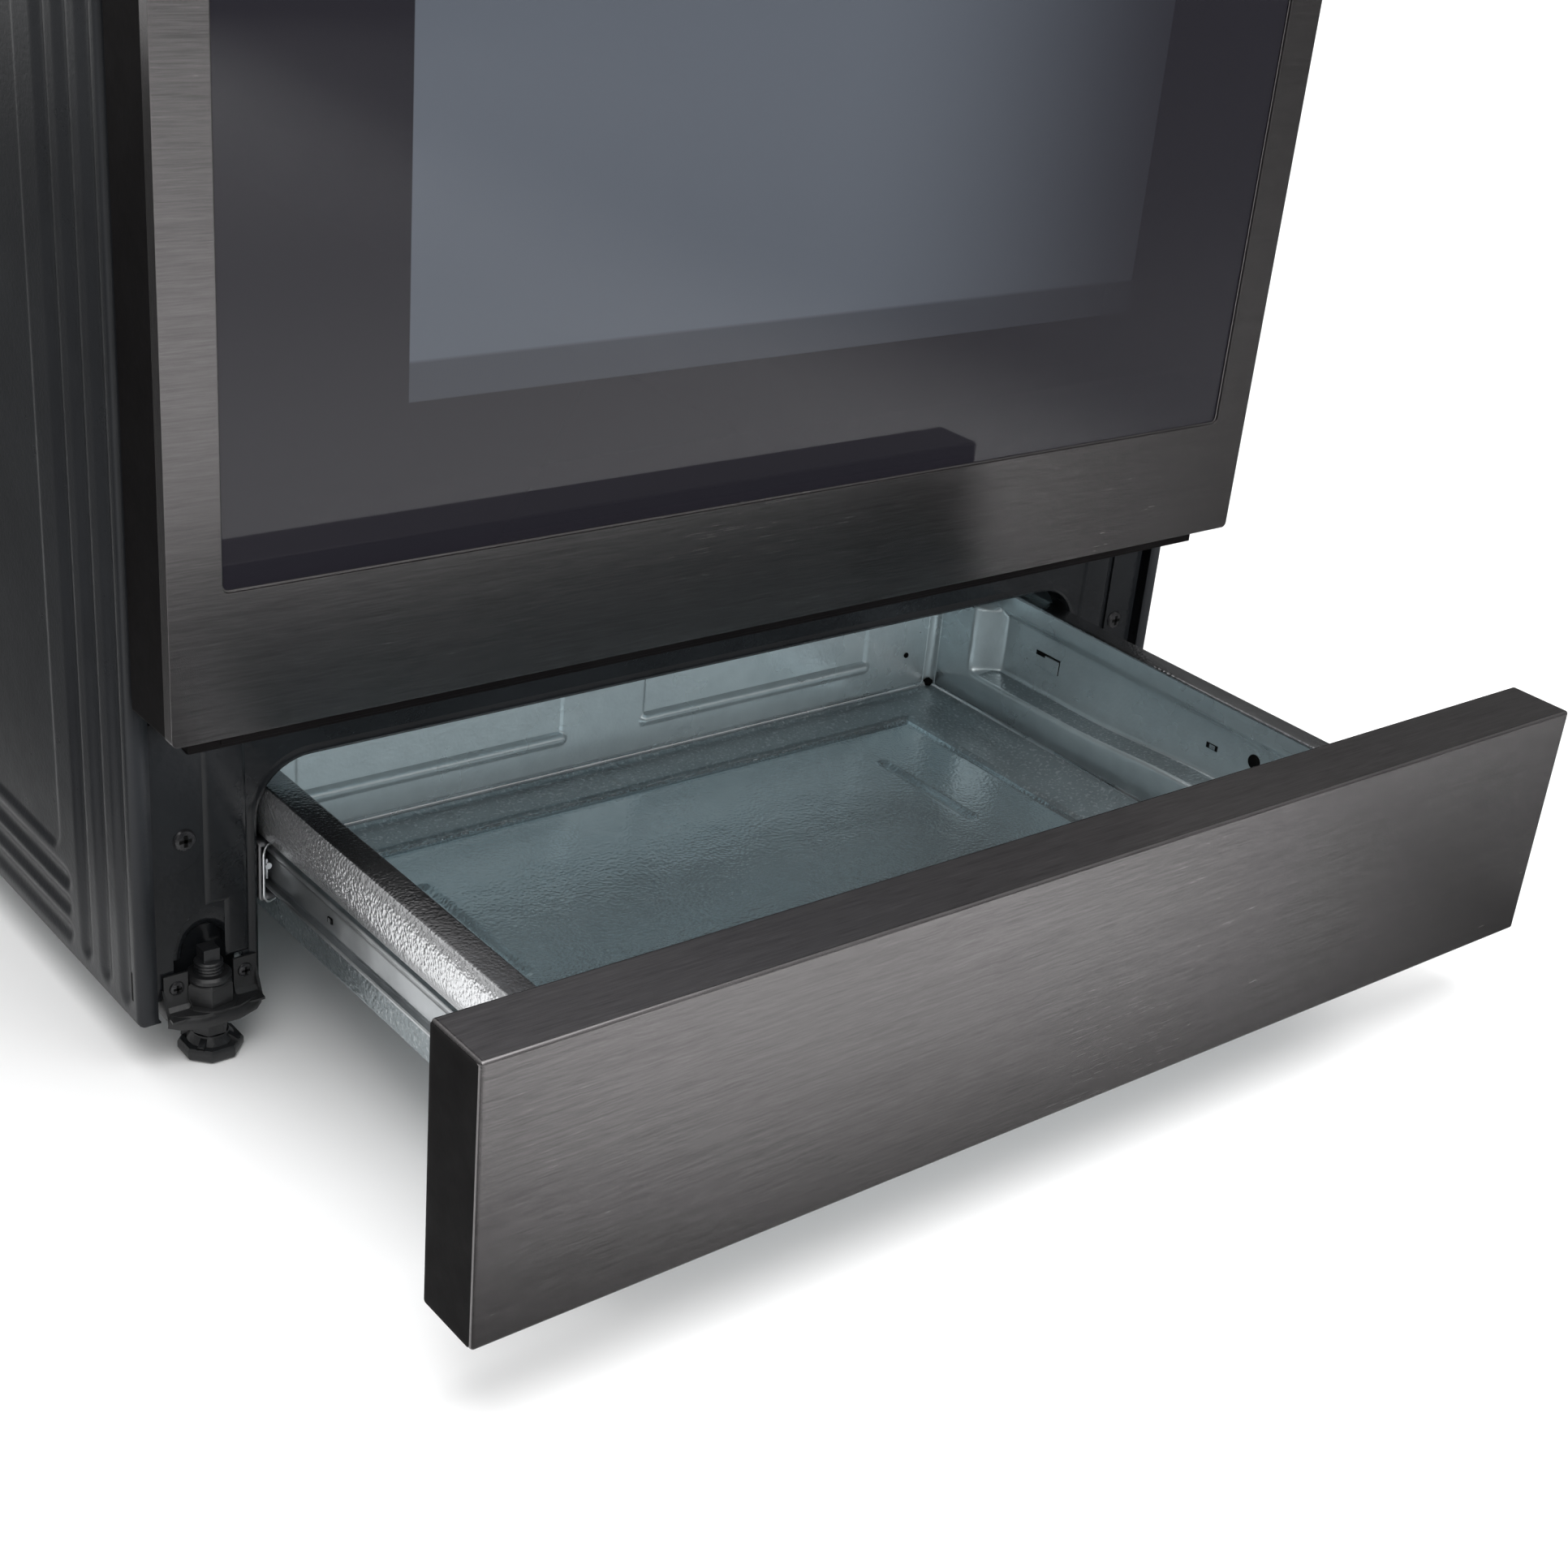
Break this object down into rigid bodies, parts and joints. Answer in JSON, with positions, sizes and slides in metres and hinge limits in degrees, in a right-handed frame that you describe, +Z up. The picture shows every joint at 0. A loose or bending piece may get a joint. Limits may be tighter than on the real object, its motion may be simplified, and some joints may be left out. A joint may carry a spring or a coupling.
{
  "type": "freestanding gas range",
  "caption": "Freestanding gas range in black stainless steel: hinged oven door with window, pull-out galvanised storage drawer, cast grates, push-and-turn knobs, backguard, levelling legs.",
  "frame": {"origin": "floor level, at the centre of the box that the range fills with its drawer pulled out", "axes": "+X to the right of a person facing the range, +Y to its back, +Z up"},
  "size_m": [0.757, 0.958, 1.199],
  "materials": {
    "charcoal_paint": "satin",
    "galvanised_steel": "satin",
    "black_enamel": "gloss",
    "black_fasteners": "satin",
    "black_paint": "satin",
    "black_plastic": "matte",
    "zinc_plate": "satin",
    "black_stainless": "brushed",
    "glass_wool": "matte",
    "chrome_wire": "polished",
    "clear_glass": "gloss",
    "tinted_glass": "gloss",
    "display_glass": "gloss",
    "gasket_braid": "matte",
    "cast_aluminium": "satin",
    "cast_iron": "matte",
    "brass": "satin",
    "knob_metal": "brushed"
  },
  "bodies": {
    "range_body": {"side_panel_left": "charcoal_paint", "side_panel_right": "charcoal_paint", "back_panel": "galvanised_steel", "base_frame": "galvanised_steel", "front_frame": "black_enamel", "frame_screws": "black_fasteners", "leg_brackets": "black_paint", "cabinet_rails": "zinc_plate", "oven_cavity": "black_enamel", "oven_insulation": "glass_wool", "oven_floor": "black_enamel", "rack_guides": "chrome_wire", "oven_burners": "zinc_plate", "fan_cover": "black_enamel", "fan_motor": "zinc_plate", "oven_lamp": "clear_glass", "vent_duct": "galvanised_steel", "hinge_receivers": "zinc_plate", "door_gasket": "gasket_braid", "cooktop": "black_enamel", "burner_heads": "cast_aluminium", "burner_caps": "cast_iron", "control_panel": "black_stainless", "gas_valves": "brass", "manifold_pipe": "cast_aluminium", "pressure_regulator": "cast_aluminium", "power_inlet": "black_plastic", "backguard": "black_stainless", "display_unit": "display_glass"},
    "oven_door": {"door_skin": "black_stainless", "door_glass": "tinted_glass", "door_frame": "black_paint", "door_liner": "black_enamel", "inner_glass": "clear_glass", "door_handle": "black_stainless", "door_hinges": "zinc_plate"},
    "drawer": {"drawer_front": "black_stainless", "drawer_box": "galvanised_steel", "drawer_rails": "zinc_plate"},
    "slide_cages": {"ball_cages": "zinc_plate"},
    "fan": {"convection_fan": "zinc_plate"},
    "upper_rack": {"rack_upper": "chrome_wire"},
    "lower_rack": {"rack_lower": "chrome_wire"},
    "left_grate": {"grate_left": "cast_iron"},
    "center_grate": {"grate_center": "cast_iron"},
    "right_grate": {"grate_right": "cast_iron"},
    "front_left_leg": {"leg_front_left": "black_plastic"},
    "front_right_leg": {"leg_front_right": "black_plastic"},
    "rear_left_leg": {"leg_rear_left": "black_plastic"},
    "rear_right_leg": {"leg_rear_right": "black_plastic"},
    "stem_1": {"valve_stem_1": "brass"},
    "knob_1": {"knob_1": "knob_metal"},
    "stem_2": {"valve_stem_2": "brass"},
    "knob_2": {"knob_2": "knob_metal"},
    "stem_3": {"valve_stem_3": "brass"},
    "knob_3": {"knob_3": "knob_metal"},
    "stem_4": {"valve_stem_4": "brass"},
    "knob_4": {"knob_4": "knob_metal"},
    "stem_5": {"valve_stem_5": "brass"},
    "knob_5": {"knob_5": "knob_metal"}
  },
  "joints": [
    {"name": "oven_door_hinge", "type": "hinge", "parent": "range_body", "child": "oven_door", "pos_m": [0, -0.171, 0.232], "axis": [1, 0, 0], "range_deg": [0, 90], "stiffness_Nm_per_rad": 20, "springref_deg": -11.46},
    {"name": "drawer_slide", "type": "slide", "parent": "range_body", "child": "drawer", "axis": [0, 1, 0], "range_m": [0, 0.286]},
    {"name": "slide_cage_travel", "type": "slide", "parent": "range_body", "child": "slide_cages", "axis": [0, 1, 0], "range_m": [0, 0.143]},
    {"name": "fan_spin", "type": "hinge", "parent": "range_body", "child": "fan", "pos_m": [0, 0.357, 0.47], "axis": [0, 1, 0], "continuous": true},
    {"name": "upper_rack_slide", "type": "slide", "parent": "range_body", "child": "upper_rack", "axis": [0, -1, 0], "range_m": [0, 0.04]},
    {"name": "lower_rack_slide", "type": "slide", "parent": "range_body", "child": "lower_rack", "axis": [0, -1, 0], "range_m": [0, 0.04]},
    {"name": "left_grate_lift", "type": "slide", "parent": "range_body", "child": "left_grate", "axis": [0, 0, 1], "range_m": [0, 0.15]},
    {"name": "center_grate_lift", "type": "slide", "parent": "range_body", "child": "center_grate", "axis": [0, 0, 1], "range_m": [0, 0.15]},
    {"name": "right_grate_lift", "type": "slide", "parent": "range_body", "child": "right_grate", "axis": [0, 0, 1], "range_m": [0, 0.15]},
    {"name": "front_left_leg_turn", "type": "hinge", "parent": "range_body", "child": "front_left_leg", "pos_m": [-0.335, -0.133, 0], "axis": [0, 0, 1], "continuous": true},
    {"name": "rear_left_leg_turn", "type": "hinge", "parent": "range_body", "child": "rear_left_leg", "pos_m": [-0.335, 0.419, 0], "axis": [0, 0, 1], "continuous": true},
    {"name": "front_right_leg_turn", "type": "hinge", "parent": "range_body", "child": "front_right_leg", "pos_m": [0.335, -0.133, 0], "axis": [0, 0, 1], "continuous": true},
    {"name": "rear_right_leg_turn", "type": "hinge", "parent": "range_body", "child": "rear_right_leg", "pos_m": [0.335, 0.419, 0], "axis": [0, 0, 1], "continuous": true},
    {"name": "knob_1_turn", "type": "hinge", "parent": "range_body", "child": "stem_1", "pos_m": [-0.264, -0.193, 0.822], "axis": [0, -1, 0], "range_deg": [0, 270]},
    {"name": "knob_1_push", "type": "slide", "parent": "stem_1", "child": "knob_1", "axis": [0, 1, 0], "range_m": [0, 0.003], "stiffness_N_per_m": 400, "springref_m": -0.002},
    {"name": "knob_2_turn", "type": "hinge", "parent": "range_body", "child": "stem_2", "pos_m": [-0.132, -0.193, 0.822], "axis": [0, -1, 0], "range_deg": [0, 270]},
    {"name": "knob_2_push", "type": "slide", "parent": "stem_2", "child": "knob_2", "axis": [0, 1, 0], "range_m": [0, 0.003], "stiffness_N_per_m": 400, "springref_m": -0.002},
    {"name": "knob_3_turn", "type": "hinge", "parent": "range_body", "child": "stem_3", "pos_m": [0, -0.193, 0.822], "axis": [0, -1, 0], "range_deg": [0, 270]},
    {"name": "knob_3_push", "type": "slide", "parent": "stem_3", "child": "knob_3", "axis": [0, 1, 0], "range_m": [0, 0.003], "stiffness_N_per_m": 400, "springref_m": -0.002},
    {"name": "knob_4_turn", "type": "hinge", "parent": "range_body", "child": "stem_4", "pos_m": [0.132, -0.193, 0.822], "axis": [0, -1, 0], "range_deg": [0, 270]},
    {"name": "knob_4_push", "type": "slide", "parent": "stem_4", "child": "knob_4", "axis": [0, 1, 0], "range_m": [0, 0.003], "stiffness_N_per_m": 400, "springref_m": -0.002},
    {"name": "knob_5_turn", "type": "hinge", "parent": "range_body", "child": "stem_5", "pos_m": [0.264, -0.193, 0.822], "axis": [0, -1, 0], "range_deg": [0, 270]},
    {"name": "knob_5_push", "type": "slide", "parent": "stem_5", "child": "knob_5", "axis": [0, 1, 0], "range_m": [0, 0.003], "stiffness_N_per_m": 400, "springref_m": -0.002}
  ],
  "couplings": [
    {"joint": "slide_cage_travel", "follows": "drawer_slide", "ratio": 0.5}
  ]
}
